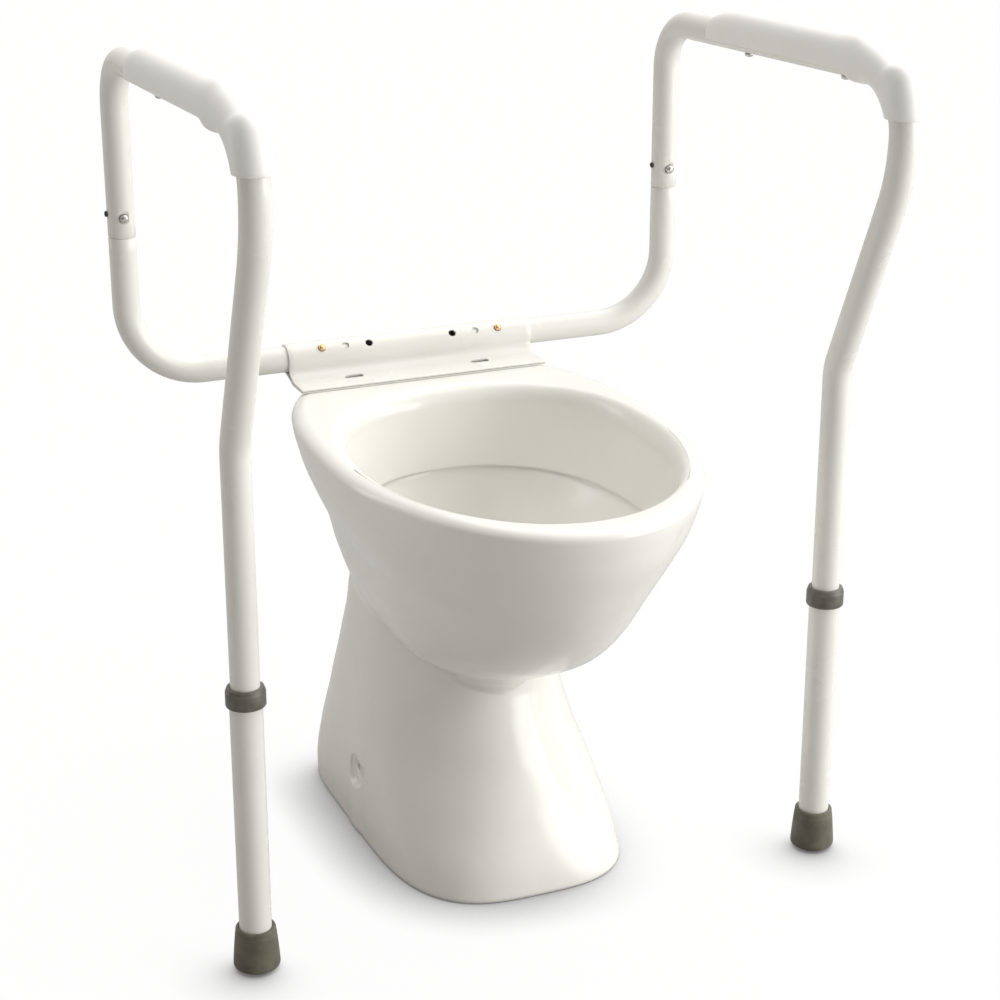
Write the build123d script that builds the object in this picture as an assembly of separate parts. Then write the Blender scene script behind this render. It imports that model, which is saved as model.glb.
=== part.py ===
from build123d import *
import os
from math import acos, cos, pi, radians, sin, tan

os.makedirs("parts", exist_ok=True)

# Toilet support frame on a glazed ceramic pan.  Millimetres.
# Seen from the front of the pan, +X is to the right.  -Y is the front, +Z is up.
# x = 0 is the symmetry plane, z = 0 is the floor.

# ---- frame layout -------------------------------------------------------------------------
HALF_WIDTH = 275.0          # upright and leg axes, each side of the middle
REAR_Y = 228.0              # axis of the cross rail and the rear uprights
LEG_Y = -116.0              # axis of the front legs
NOSE_Y = -198.5             # axis of the short vertical run under the front bend
RAIL_Z = 433.0              # axis of the cross rail
KINK_Z = 474.0              # where the slanted front tube turns down into the leg
BELLY_Z = 661.0             # where the front tube starts to slant back
ARM_REAR_Z = 729.7          # arm axis height at the rear upright
ARM_FRONT_Z = 743.7         # arm axis height at the front bend
JOINT_Z = 567.0             # height of the upright joint
RAIL_BEND_R = 70.0
ARM_REAR_R = 47.0
ARM_FRONT_R = 50.0
BELLY_R = 150.0
KINK_R = 45.0

# ---- tubes --------------------------------------------------------------------------------
TUBE_R = 12.5
TUBE_WALL = 1.5
TUBE_BORE_R = TUBE_R - TUBE_WALL
SPIGOT_R = TUBE_BORE_R - 0.05
SPIGOT_BORE_R = SPIGOT_R - 1.5
SPIGOT_LENGTH = 60.0
BODY_GAP = 0.3
RAIL_INNER_X = 55.0
INNER_LEG_END_Z = 125.0
LEG_R = 14.0
LEG_BORE_R = 12.56
LEG_BOTTOM_Z = 8.0
LEG_TOP_Z = 262.0

# ---- snap buttons -------------------------------------------------------------------------
WIDTH_HOLES_X = (43.0, 67.0, 91.0)
WIDTH_BUTTON_X = 91.0
WIDTH_HOLE_R = 3.6
WIDTH_BUTTON_R = 3.2
UPRIGHT_BUTTON_Z = 586.0
UPRIGHT_HOLE_R = 4.3
UPRIGHT_BUTTON_R = 4.0
LEG_HOLE_PITCH = 25.0
LEG_HOLE_COUNT = 6
LEG_FIRST_HOLE_Z = 100.0
LEG_BUTTON_Z = 150.0
LEG_HOLE_R = 3.6
LEG_BUTTON_R = 3.3
BUTTON_PROUD = 2.6
SIDE_SCREW_R = 2.0
SIDE_SCREW_HEAD_R = 2.7
SPRING_WIDTH = 6.0
SPRING_SHEET = 0.8
SPRING_LENGTH = 34.0

# ---- bracket ------------------------------------------------------------------------------
BRACKET_HALF = 125.0
SHEET = 1.8
SLEEVE_BORE_R = 12.58
SLEEVE_R = SLEEVE_BORE_R + SHEET
PLATE_FRONT_Y = 176.0
SLOT_X = 65.0
SLOT_Y = 201.0
SLOT_LENGTH = 19.0
SLOT_WIDTH = 6.4
SEAT_HOLE_R = 7.5

# ---- pan ----------------------------------------------------------------------------------
DECK_Z = 413.0
RIM_BOTTOM_Z = 390.0
RIM_HALF = 163.0
PAN_FRONT = -243.0
PAN_REAR = 243.0
PAN_MID = -1.5
RIM_EDGE_R = 8.0
OPENING_HALF = 134.0
OPENING_FRONT = -200.0
OPENING_REAR = 146.0
OPENING_MID = -27.5
LIP_Z = 335.0
LIP_HALF = 124.0
LIP_FRONT = -204.0
LIP_REAR = 134.0
LIP_MID = -35.0
SUMP_Z = 150.0
WALL = 14.0
TRAP_R = 28.0
TRAP_WALL = 8.0
TRAP_Y = 184.0
TRAP_BEND_R = 40.0
TRAP_START = (58.0, 166.0)
TRAP_CORNER_Z = 250.0
HOLLOW_TOP_Z = 125.0
NECK_TOP_Z = 236.0
INLET_Z = 352.0
INLET_R = 22.5
INLET_DEPTH_Y = 152.0
INLET_BOSS_R = 31.0
FLOOR_HOLE_Y = 84.0
FLOOR_HOLE_Z = 64.0
FLOOR_HOLE_R = 3.5
FLOOR_PAD_R = 15.0
FLOOR_PAD_X = 108.5

# ---- collars, feet, grips -----------------------------------------------------------------
COLLAR_R = 17.0
COLLAR_BOTTOM_Z = 249.0
COLLAR_TOP_Z = 266.0
FOOT_TOP_R = 17.5
FOOT_BOTTOM_R = 20.3
FOOT_TOP_Z = 40.0
FOOT_BORE_R = 14.02
WASHER_T = 2.0
GRIP_HALF = 19.0
CUFF_HALF = 15.6
GRIP_EDGE_R = 9.0
GRIP_SCREW_Y = (63.5, -104.5)
GRIP_SCREW_R = 2.4
GRIP_SCREW_HEAD_R = 4.2


def arm_slope():
    return (ARM_FRONT_Z - ARM_REAR_Z) / (NOSE_Y - REAR_Y)


def arm_axis_z(y):
    return ARM_REAR_Z + (y - REAR_Y) * arm_slope()


def bent_path(points, radii):
    """Wire through the points with an arc of the given radius at every inner corner."""
    knots = [Vector(*p) for p in points]
    edges = []
    start = knots[0]
    for i, radius in enumerate(radii, start=1):
        into = (knots[i] - knots[i - 1]).normalized()
        out = (knots[i + 1] - knots[i]).normalized()
        half_turn = acos(max(-1.0, min(1.0, into.dot(out)))) / 2
        back = radius * tan(half_turn)
        first = knots[i] - into * back
        last = knots[i] + out * back
        inward = (out - into).normalized()
        middle = knots[i] + inward * (radius / cos(half_turn) - radius)
        edges.append(Line(start, first))
        edges.append(ThreePointArc(first, middle, last))
        start = last
    edges.append(Line(start, knots[-1]))
    return Wire([e.edge() if hasattr(e, "edge") else e for e in edges])


def rod(points, radii, radius):
    """Round bar along a bent path."""
    wire = bent_path(points, radii)
    disc = Plane(origin=wire @ 0, z_dir=wire % 0) * Circle(radius)
    return sweep(disc, path=wire)


def pin(origin, direction, radius, length):
    """Round pin starting at origin and running along direction."""
    return extrude(Plane(origin=origin, z_dir=direction) * Circle(radius), length)


def ring_section(half, front, rear, middle, n_front, n_rear, z):
    """Egg-shaped closed face at height z: front and rear halves meet at their widest."""
    steps = 36
    points = []
    for k in range(steps):
        angle = 2 * pi * k / steps
        c = cos(angle)
        s = sin(angle)
        n = n_rear if s > 0 else n_front
        reach = rear - middle if s > 0 else middle - front
        x = half * (1 if c >= 0 else -1) * abs(c) ** (2 / n)
        y = middle + reach * (1 if s >= 0 else -1) * abs(s) ** (2 / n)
        points.append((x, y, z))
    return Face(Wire([Edge.make_spline([Vector(*p) for p in points], periodic=True)]))


def snap_button(origin, direction, along, radius, shank):
    """Domed button on a folded spring strip that lies inside the tube.

    origin is on the tube axis, direction points out through the hole, along runs down the tube.
    """
    out = Vector(*direction).normalized()
    run = Vector(*along).normalized()
    base = Vector(*origin)
    strip_at = shank["strip"]
    tip = shank["tip"]
    barrel = pin(base + out * strip_at, out, radius, tip - strip_at)
    dome = Plane(origin=base + out * (tip - radius * 0.35), z_dir=out) * Sphere(radius)
    keep = pin(base + out * (strip_at + 0.1), out, radius, radius * 0.55 + tip - strip_at)
    button = barrel + (dome & keep)
    frame = Plane(origin=base, x_dir=run, z_dir=run.cross(out))
    far = -strip_at + 0.3
    near_top = strip_at
    with BuildSketch(frame) as outline:
        with BuildLine():
            Polyline(
                (-SPRING_LENGTH * 0.2, near_top),
                (SPRING_LENGTH * 0.25, near_top),
                (SPRING_LENGTH * 0.75, 0.6),
                (SPRING_LENGTH * 0.25, far),
                (-SPRING_LENGTH * 0.2, far),
                (-SPRING_LENGTH * 0.2, far + SPRING_SHEET),
                (SPRING_LENGTH * 0.23, far + SPRING_SHEET),
                (SPRING_LENGTH * 0.66, 0.6),
                (SPRING_LENGTH * 0.23, near_top - SPRING_SHEET),
                (-SPRING_LENGTH * 0.2, near_top - SPRING_SHEET),
                close=True,
            )
        make_face()
    strip = extrude(outline.sketch, SPRING_WIDTH / 2, both=True)
    return button + strip


# ---- pan ----------------------------------------------------------------------------------

def bowl_outside():
    rows = (
        # height, half width, front, rear, squareness of the rear half
        (396.0, 161.5, -241.5, 241.5, 2.65),
        (370.0, 155.0, -236.0, 236.0, 2.7),
        (340.0, 141.0, -220.0, 224.0, 2.9),
        (305.0, 121.0, -199.0, 217.0, 3.6),
        (270.0, 109.0, -172.0, 214.0, 4.0),
        (240.0, 99.0, -140.0, 206.0, 4.0),
        (216.0, 88.0, -97.0, 195.0, 4.0),
        (200.0, 66.0, -56.0, 168.0, 3.6),
    )
    faces = []
    for i, (z, half, front, rear, square) in enumerate(rows):
        middle = PAN_MID + 3.0 * i
        faces.append(ring_section(half, front, rear, middle, 2.0, square, z))
    bowl = loft(faces)
    rim_face = ring_section(RIM_HALF, PAN_FRONT, PAN_REAR, PAN_MID, 2.0, 2.67, RIM_BOTTOM_Z)
    rim = extrude(rim_face, DECK_Z - RIM_BOTTOM_Z)
    rim = fillet(rim.edges().group_by(Axis.Z)[-1], RIM_EDGE_R)
    return bowl + rim


def pedestal_faces(inset, top):
    rows = (
        # height, half width, front, rear, widest at y, squareness of the front and rear halves
        (0.0, 116.0, -104.0, 238.0, 65.0, 3.2, 7.0),
        (20.0, 116.0, -99.0, 238.0, 67.0, 2.8, 7.0),
        (60.0, 112.0, -76.0, 237.0, 80.0, 2.3, 6.0),
        (110.0, 102.0, -40.0, 233.0, 100.0, 2.0, 5.0),
        (160.0, 92.0, -13.0, 223.0, 110.0, 2.0, 5.0),
        (200.0, 88.0, -8.0, 207.0, 115.0, 2.0, 5.0),
        (236.0, 87.0, -30.0, 197.0, 110.0, 2.0, 4.5),
    )
    if top < rows[-1][0]:
        rows = tuple(row for row in rows if row[0] < top) + ((top, 99.0, -31.0, 230.0, 103.0, 2.0, 5.0),)
    faces = []
    for z, half, front, rear, middle, n_front, n_rear in rows:
        if z <= top:
            level = z if z > 0 or inset == 0 else -1.0
            faces.append(ring_section(half - inset, front + inset, rear - inset, middle, n_front, n_rear, level))
    return faces


def trap_way(radius, start_back, end_z):
    """Bent passage from the sump, up over the weir and straight down to the floor."""
    y, z = TRAP_START
    rise = (TRAP_CORNER_Z - z) / (TRAP_Y - y)
    start = (0, y - start_back, z - start_back * rise)
    return rod((start, (0, TRAP_Y, TRAP_CORNER_Z), (0, TRAP_Y, end_z)), (TRAP_BEND_R,), radius)


def bowl_cavity():
    throat = loft([
        ring_section(OPENING_HALF, OPENING_FRONT, OPENING_REAR, OPENING_MID, 2.0, 2.3, DECK_Z + 1),
        ring_section(OPENING_HALF - 3, OPENING_FRONT - 1, OPENING_REAR - 5, OPENING_MID - 3, 2.0, 2.3, 385.0),
        ring_section(LIP_HALF, LIP_FRONT, LIP_REAR, LIP_MID, 2.0, 2.2, LIP_Z),
    ])
    basin = loft([
        ring_section(LIP_HALF - 2, LIP_FRONT + 6, LIP_REAR + 6, LIP_MID, 2.0, 2.3, LIP_Z + 0.5),
        ring_section(103.0, -180.0, 132.0, -30.0, 2.0, 2.3, 304.0),
        ring_section(84.0, -148.0, 116.0, -18.0, 2.0, 2.2, 268.0),
        ring_section(62.0, -96.0, 98.0, 0.0, 2.0, 2.0, 228.0),
        ring_section(50.0, -42.0, 94.0, 24.0, 2.0, 2.0, 204.0),
        ring_section(42.0, 8.0, 92.0, 48.0, 2.0, 2.0, 184.0),
        ring_section(32.0, 22.0, 84.0, 52.0, 2.0, 2.0, SUMP_Z),
    ])
    return throat + basin


def pan_casting():
    shell = bowl_outside() + loft(pedestal_faces(0.0, 240.0))
    shell -= loft(pedestal_faces(WALL, HOLLOW_TOP_Z))
    shell += trap_way(TRAP_R + TRAP_WALL, 8.0, 0.0)
    shell += pin((0, 160.0, INLET_Z), (0, 1, 0), INLET_BOSS_R, 78.0)
    shell -= bowl_cavity()
    shell -= trap_way(TRAP_R, 0.0, -1.0)
    shell -= pin((0, INLET_DEPTH_Y, INLET_Z), (0, 1, 0), INLET_R, 110.0)
    for side in (-1, 1):
        shell -= pin((side * SLOT_X, SLOT_Y, DECK_Z - 130), (0, 0, 1), SEAT_HOLE_R, 140.0)
        shell -= pin((side * 60.0, FLOOR_HOLE_Y, FLOOR_HOLE_Z), (side, 0, 0), FLOOR_HOLE_R, 70.0)
        shell -= pin((side * FLOOR_PAD_X, FLOOR_HOLE_Y, FLOOR_HOLE_Z), (side, 0, 0), FLOOR_PAD_R, 20.0)
    return shell


def pan_band(casting, low_z, high_z):
    """The slice of the casting between two heights."""
    middle = (low_z + high_z) / 2
    return casting & Pos(0, 0, middle) * Box(500, 600, high_z - low_z)


# ---- bracket ------------------------------------------------------------------------------

def width_button_direction():
    return (0, -sin(radians(45)), cos(radians(45)))


def mounting_bracket():
    """One sheet rolled round the cross rail, its two tails folded together into a flat plate."""
    plate_top = DECK_Z + 2 * SHEET
    side = Plane(origin=(-BRACKET_HALF, 0, 0), x_dir=(0, 1, 0), z_dir=(1, 0, 0))
    with BuildSketch(side) as section:
        with Locations((REAR_Y, RAIL_Z)):
            Circle(SLEEVE_R)
        with BuildLine():
            touch = radians(200)
            top = (REAR_Y + SLEEVE_R * cos(touch), RAIL_Z + SLEEVE_R * sin(touch))
            low = (REAR_Y, RAIL_Z - SLEEVE_R)
            a = Spline(top, (SLOT_Y - 1.0, plate_top), tangents=((0.34, -0.94), (-1, -0.02)))
            b = Line(a @ 1, (PLATE_FRONT_Y, plate_top))
            c = Line(b @ 1, (PLATE_FRONT_Y, DECK_Z))
            d = Line(c @ 1, (SLOT_Y + 4.0, DECK_Z))
            e = Line(d @ 1, low)
            Line(e @ 1, top)
        make_face()
        with Locations((REAR_Y, RAIL_Z)):
            Circle(SLEEVE_BORE_R, mode=Mode.SUBTRACT)
    body = extrude(section.sketch, 2 * BRACKET_HALF)
    for sign in (-1, 1):
        slot = Plane(origin=(sign * SLOT_X, SLOT_Y, DECK_Z - 5)) * SlotOverall(SLOT_LENGTH, SLOT_WIDTH)
        body -= extrude(slot, 14.0)
        for x in WIDTH_HOLES_X:
            body -= pin((sign * x, REAR_Y, RAIL_Z), width_button_direction(), WIDTH_HOLE_R, 25.0)
    return body


# ---- side frames --------------------------------------------------------------------------

def back_rail(side):
    x = side * HALF_WIDTH
    points = ((side * RAIL_INNER_X, REAR_Y, RAIL_Z), (x, REAR_Y, RAIL_Z), (x, REAR_Y, JOINT_Z))
    tube = rod(points, (RAIL_BEND_R,), TUBE_R)
    tube += pin((x, REAR_Y, JOINT_Z - 4), (0, 0, 1), SPIGOT_R, SPIGOT_LENGTH + 4)
    bore_points = (points[0], points[1], (x, REAR_Y, JOINT_Z - 6))
    tube -= rod(bore_points, (RAIL_BEND_R,), TUBE_BORE_R)
    tube -= pin((x, REAR_Y, JOINT_Z - 8), (0, 0, 1), SPIGOT_BORE_R, SPIGOT_LENGTH + 20)
    tube -= pin((side * WIDTH_BUTTON_X, REAR_Y, RAIL_Z), width_button_direction(), WIDTH_HOLE_R, 25.0)
    tube -= pin((x, REAR_Y, UPRIGHT_BUTTON_Z), (0, -1, 0), UPRIGHT_HOLE_R, 25.0)
    return tube


def arm_points(low_z):
    return (
        (REAR_Y, JOINT_Z + BODY_GAP),
        (REAR_Y, ARM_REAR_Z),
        (NOSE_Y, ARM_FRONT_Z),
        (NOSE_Y, BELLY_Z),
        (LEG_Y, KINK_Z),
        (LEG_Y, low_z),
    )


def arm_tube(side):
    x = side * HALF_WIDTH
    radii = (ARM_REAR_R, ARM_FRONT_R, BELLY_R, KINK_R)
    points = [(x, y, z) for y, z in arm_points(INNER_LEG_END_Z)]
    tube = rod(points, radii, TUBE_R) - rod(points, radii, TUBE_BORE_R)
    tube -= pin((x, REAR_Y, UPRIGHT_BUTTON_Z), (0, -1, 0), UPRIGHT_HOLE_R, 25.0)
    tube -= pin((x, REAR_Y, UPRIGHT_BUTTON_Z + 3), (-1, 0, 0), SIDE_SCREW_R, 25.0)
    tube -= pin((x, LEG_Y, LEG_BUTTON_Z), (0, 1, 0), LEG_HOLE_R, 25.0)
    for y in GRIP_SCREW_Y:
        tube -= pin((x, y, arm_axis_z(y) - 25), (0, 0, 1), GRIP_SCREW_R, 45.0)
    return tube


def side_screw(side):
    """Small dark screw in the arm tube wall, just above the joint."""
    x = side * HALF_WIDTH
    z = UPRIGHT_BUTTON_Z + 3
    shank = pin((x - TUBE_BORE_R - 0.2, REAR_Y, z), (-1, 0, 0), SIDE_SCREW_R - 0.02, TUBE_WALL + 0.6)
    head = pin((x - TUBE_R - 0.05, REAR_Y, z), (-1, 0, 0), SIDE_SCREW_HEAD_R, 2.2)
    head = fillet(head.edges().sort_by(Axis.X)[0], 1.0)
    return shank + head


def arm_grip(side):
    """Moulded saddle over the arm, open underneath, with a closed cuff at the front bend."""
    x = side * HALF_WIDTH
    profile = (
        (121.5, 724.5), (116.5, 742.0), (103.5, 748.5), (90.5, 754.5), (72.5, 758.5),
        (-108.5, 764.0), (-132.5, 766.5), (-148.0, 764.0), (-163.5, 758.0), (-176.5, 753.0),
        (-176.5, 728.0), (-152.5, 735.5), (-131.5, 739.0), (-57.5, 736.0), (12.5, 733.0), (94.5, 729.5),
    )
    side_plane = Plane(origin=(x, 0, 0), x_dir=(0, 1, 0), z_dir=(1, 0, 0))
    saddle = extrude(make_face(side_plane * Polyline(*profile, close=True)), GRIP_HALF, both=True)
    long_edges = [e for e in saddle.edges() if e.center().Z > 752 and abs(abs(e.center().X - x) - GRIP_HALF) < 0.1]
    saddle = fillet(long_edges, GRIP_EDGE_R)
    bend = (
        (x, -120.0, arm_axis_z(-120.0)),
        (x, NOSE_Y, ARM_FRONT_Z),
        (x, NOSE_Y, 706.0),
    )
    cuff = rod(bend, (ARM_FRONT_R * 0.74,), CUFF_HALF)
    lift = Location((0, -1.5, 2.0))
    grip = saddle + lift * cuff
    points = [(x, y, z) for y, z in arm_points(INNER_LEG_END_Z)]
    grip -= rod(points, (ARM_REAR_R, ARM_FRONT_R, BELLY_R, KINK_R), TUBE_R + 0.02)
    for y in GRIP_SCREW_Y:
        grip -= pin((x, y, arm_axis_z(y) - 5), (0, 0, 1), GRIP_SCREW_R, 23.0)
    return grip


def grip_screw(side, y):
    """Round-head screw driven up through the tube into the saddle."""
    x = side * HALF_WIDTH
    z = arm_axis_z(y) - TUBE_R
    shank = pin((x, y, z - 1.5), (0, 0, 1), GRIP_SCREW_R - 0.02, 30.0)
    head = pin((x, y, z - 3.4), (0, 0, 1), GRIP_SCREW_HEAD_R, 3.0)
    head = fillet(head.edges().sort_by(Axis.Z)[0], 1.8)
    return shank + head


def leg_tube(side):
    x = side * HALF_WIDTH
    height = LEG_TOP_Z - LEG_BOTTOM_Z
    tube = pin((x, LEG_Y, LEG_BOTTOM_Z), (0, 0, 1), LEG_R, height)
    tube -= pin((x, LEG_Y, LEG_BOTTOM_Z - 1), (0, 0, 1), LEG_BORE_R, height + 2)
    for k in range(LEG_HOLE_COUNT):
        tube -= pin((x, LEG_Y, LEG_FIRST_HOLE_Z + k * LEG_HOLE_PITCH), (0, 1, 0), LEG_HOLE_R, 25.0)
    return tube


def leg_collar(side):
    x = side * HALF_WIDTH
    collar = pin((x, LEG_Y, COLLAR_BOTTOM_Z), (0, 0, 1), COLLAR_R, COLLAR_TOP_Z - COLLAR_BOTTOM_Z)
    collar = fillet(collar.edges().group_by(Axis.Z)[-1], 2.2)
    collar = fillet(collar.edges().group_by(Axis.Z)[0], 1.0)
    collar -= pin((x, LEG_Y, COLLAR_BOTTOM_Z - 1), (0, 0, 1), LEG_R + 0.02, LEG_TOP_Z - COLLAR_BOTTOM_Z + 1.02)
    collar -= pin((x, LEG_Y, COLLAR_BOTTOM_Z), (0, 0, 1), TUBE_R + 0.08, 30.0)
    return collar


def foot_tip(side):
    """Rubber ferrule, wider at the floor, with a shallow tread ring."""
    x = side * HALF_WIDTH
    outline = (
        (0, 0), (15.5, 0), (15.5, 2.2), (18.2, 2.2), (FOOT_BOTTOM_R - 0.6, 3.4), (FOOT_BOTTOM_R, 5.5),
        (FOOT_TOP_R + 0.6, 31.0), (FOOT_TOP_R + 0.6, 34.0), (FOOT_TOP_R, 35.0),
        (FOOT_TOP_R, FOOT_TOP_Z - 1.5), (FOOT_TOP_R - 1.2, FOOT_TOP_Z), (FOOT_BORE_R, FOOT_TOP_Z),
        (FOOT_BORE_R, LEG_BOTTOM_Z - WASHER_T), (0, LEG_BOTTOM_Z - WASHER_T),
    )
    plane = Plane(origin=(x, LEG_Y, 0), x_dir=(1, 0, 0), z_dir=(0, -1, 0))
    face = make_face(plane * Polyline(*outline, close=True))
    tip = revolve(face, Axis((x, LEG_Y, 0), (0, 0, 1)))
    for radius in (5.0, 10.0):
        groove = pin((x, LEG_Y, -1), (0, 0, 1), radius + 1.0, 2.5) - pin((x, LEG_Y, -1), (0, 0, 1), radius - 1.0, 2.5)
        tip -= groove
    return tip


def foot_washer(side):
    """Steel disc under the tube end that keeps it from cutting through the rubber."""
    x = side * HALF_WIDTH
    return pin((x, LEG_Y, LEG_BOTTOM_Z - WASHER_T), (0, 0, 1), LEG_R - 0.1, WASHER_T)


def width_button(side):
    sizes = {"strip": TUBE_BORE_R - 4.4, "tip": SLEEVE_R + BUTTON_PROUD - 0.9}
    origin = (side * WIDTH_BUTTON_X, REAR_Y, RAIL_Z)
    return snap_button(origin, width_button_direction(), (side, 0, 0), WIDTH_BUTTON_R, sizes)


def upright_button(side):
    sizes = {"strip": SPIGOT_BORE_R - 3.6, "tip": TUBE_R + BUTTON_PROUD - 0.8}
    origin = (side * HALF_WIDTH, REAR_Y, UPRIGHT_BUTTON_Z)
    return snap_button(origin, (0, -1, 0), (0, 0, 1), UPRIGHT_BUTTON_R, sizes)


def leg_button(side):
    sizes = {"strip": TUBE_BORE_R - 4.4, "tip": LEG_R + BUTTON_PROUD - 0.9}
    origin = (side * HALF_WIDTH, LEG_Y, LEG_BUTTON_Z)
    return snap_button(origin, (0, 1, 0), (0, 0, 1), LEG_BUTTON_R, sizes)


def save(name, shape):
    solids = shape.solids()
    print(name, "solids", len(solids), "volume", round(shape.volume, 1), "box", shape.bounding_box())
    export_step(shape, "parts/" + name + ".step")


casting = pan_casting()
save("pan_rim", pan_band(casting, LIP_Z, DECK_Z + 5))
save("pan_bowl", pan_band(casting, NECK_TOP_Z, LIP_Z))
save("pan_neck", pan_band(casting, HOLLOW_TOP_Z, NECK_TOP_Z))
save("pan_base", pan_band(casting, -5, HOLLOW_TOP_Z))
save("mounting_bracket", mounting_bracket())
for word, side in (("left", -1), ("right", 1)):
    save(word + "_back_rail", back_rail(side))
    save(word + "_width_button", width_button(side))
    save(word + "_upright_button", upright_button(side))
    save(word + "_arm_tube", arm_tube(side))
    save(word + "_side_screw", side_screw(side))
    save(word + "_arm_grip", arm_grip(side))
    save(word + "_grip_screw_rear", grip_screw(side, GRIP_SCREW_Y[0]))
    save(word + "_grip_screw_front", grip_screw(side, GRIP_SCREW_Y[1]))
    save(word + "_leg_tube", leg_tube(side))
    save(word + "_leg_collar", leg_collar(side))
    save(word + "_leg_button", leg_button(side))
    save(word + "_foot_tip", foot_tip(side))
    save(word + "_foot_washer", foot_washer(side))
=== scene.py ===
from math import acos, atan, cos, pi, radians, sin, sqrt, tan

import bpy
import bmesh
import numpy as np
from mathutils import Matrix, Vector


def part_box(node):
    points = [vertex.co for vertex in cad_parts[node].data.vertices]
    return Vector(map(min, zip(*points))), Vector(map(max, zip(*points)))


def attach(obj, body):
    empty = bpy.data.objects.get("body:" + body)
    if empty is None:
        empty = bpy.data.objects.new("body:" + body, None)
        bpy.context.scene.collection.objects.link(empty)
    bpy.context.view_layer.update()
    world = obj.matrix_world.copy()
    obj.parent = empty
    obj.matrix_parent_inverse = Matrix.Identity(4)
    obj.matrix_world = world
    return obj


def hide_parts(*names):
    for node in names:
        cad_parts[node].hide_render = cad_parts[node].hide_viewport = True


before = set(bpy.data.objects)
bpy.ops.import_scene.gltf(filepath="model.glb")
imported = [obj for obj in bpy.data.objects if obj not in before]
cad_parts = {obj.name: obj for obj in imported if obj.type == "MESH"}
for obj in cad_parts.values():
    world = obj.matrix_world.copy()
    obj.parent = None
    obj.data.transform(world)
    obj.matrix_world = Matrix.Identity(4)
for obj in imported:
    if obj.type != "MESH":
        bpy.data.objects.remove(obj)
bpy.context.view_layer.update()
scene = bpy.context.scene

# ---- view -----------------------------------------------------------------------------------
# A standing person's look at the frame from its front left corner, through a long lens, so
# that the uprights stay nearly parallel.
camera_data = bpy.data.cameras.new("studio_camera")
camera_data.lens = 80.26
camera_data.sensor_width = 36.0
camera_data.clip_end = 30.0
camera = bpy.data.objects.new("studio_camera", camera_data)
scene.collection.objects.link(camera)
camera.location = (-0.7307, -1.7326, 1.0463)
look_at = Vector((0.0373, 0.0845, 0.3154))
camera.rotation_euler = (look_at - camera.location).to_track_quat("-Z", "Y").to_euler()
scene.camera = camera
scene.view_settings.view_transform = "Standard"

# ---- the pan: casting -------------------------------------------------------------------------
# One slip-cast vitreous china body: an egg-shaped rim and deck, a bowl that tucks in below it,
# and a pedestal that flares to the floor round the trapway.  It is hollow underneath and glazed
# all over, so every edge is softly rounded.
MM = 0.001
AROUND = 192
PHI = np.linspace(0.0, 2.0 * pi, AROUND, endpoint=False)


def smooth_rows(rows, z):
    """Values of a table of (height, a, b, ...) at height z, along a smooth curve without overshoot."""
    table = np.array(sorted(rows))
    h = table[:, 0]
    z = min(max(z, h[0]), h[-1])
    i = int(min(max(np.searchsorted(h, z) - 1, 0), len(h) - 2))
    step = h[i + 1] - h[i]
    slope = np.diff(table[:, 1:], axis=0) / np.diff(h)[:, None]
    tangent = np.zeros_like(table[:, 1:])
    tangent[0], tangent[-1] = slope[0], slope[-1]
    for k in range(1, len(h) - 1):
        same = slope[k - 1] * slope[k] > 0
        mean = 2 * slope[k - 1] * slope[k] / np.where(same, slope[k - 1] + slope[k], 1.0)
        tangent[k] = np.where(same, mean, 0.0)
    t = (z - h[i]) / step
    a, b = table[i, 1:], table[i + 1, 1:]
    return ((2 * t**3 - 3 * t**2 + 1) * a + (t**3 - 2 * t**2 + t) * step * tangent[i]
            + (3 * t**2 - 2 * t**3) * b + (t**3 - t**2) * step * tangent[i + 1])


def egg_reach(half, front, rear, middle, n_front, n_rear, centre):
    """Distance from (0, centre) to an egg-shaped outline in every direction of PHI."""
    t = np.linspace(0.0, 2.0 * pi, 1440, endpoint=False)
    c, s = np.cos(t), np.sin(t)
    n = np.where(s > 0, n_rear, n_front)
    x = half * np.sign(c) * np.abs(c) ** (2 / n)
    y = middle + np.where(s > 0, rear - middle, middle - front) * np.sign(s) * np.abs(s) ** (2 / n)
    angle = np.unwrap(np.arctan2(y - centre, x))
    reach = np.hypot(x, y - centre)
    return np.interp(PHI, angle, reach, period=2 * pi)


def ring_points(reach, centre, z):
    """Points at the given reaches round (0, centre), at height z."""
    return np.column_stack((reach * np.cos(PHI), centre + reach * np.sin(PHI), np.full(AROUND, z)))


def soft_larger(a, b, blend):
    """The larger of two reaches, with a fillet of about the given size where they cross."""
    near = np.maximum(blend - np.abs(a - b), 0.0) / blend
    return np.maximum(a, b) + near**2 * blend / 4


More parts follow.
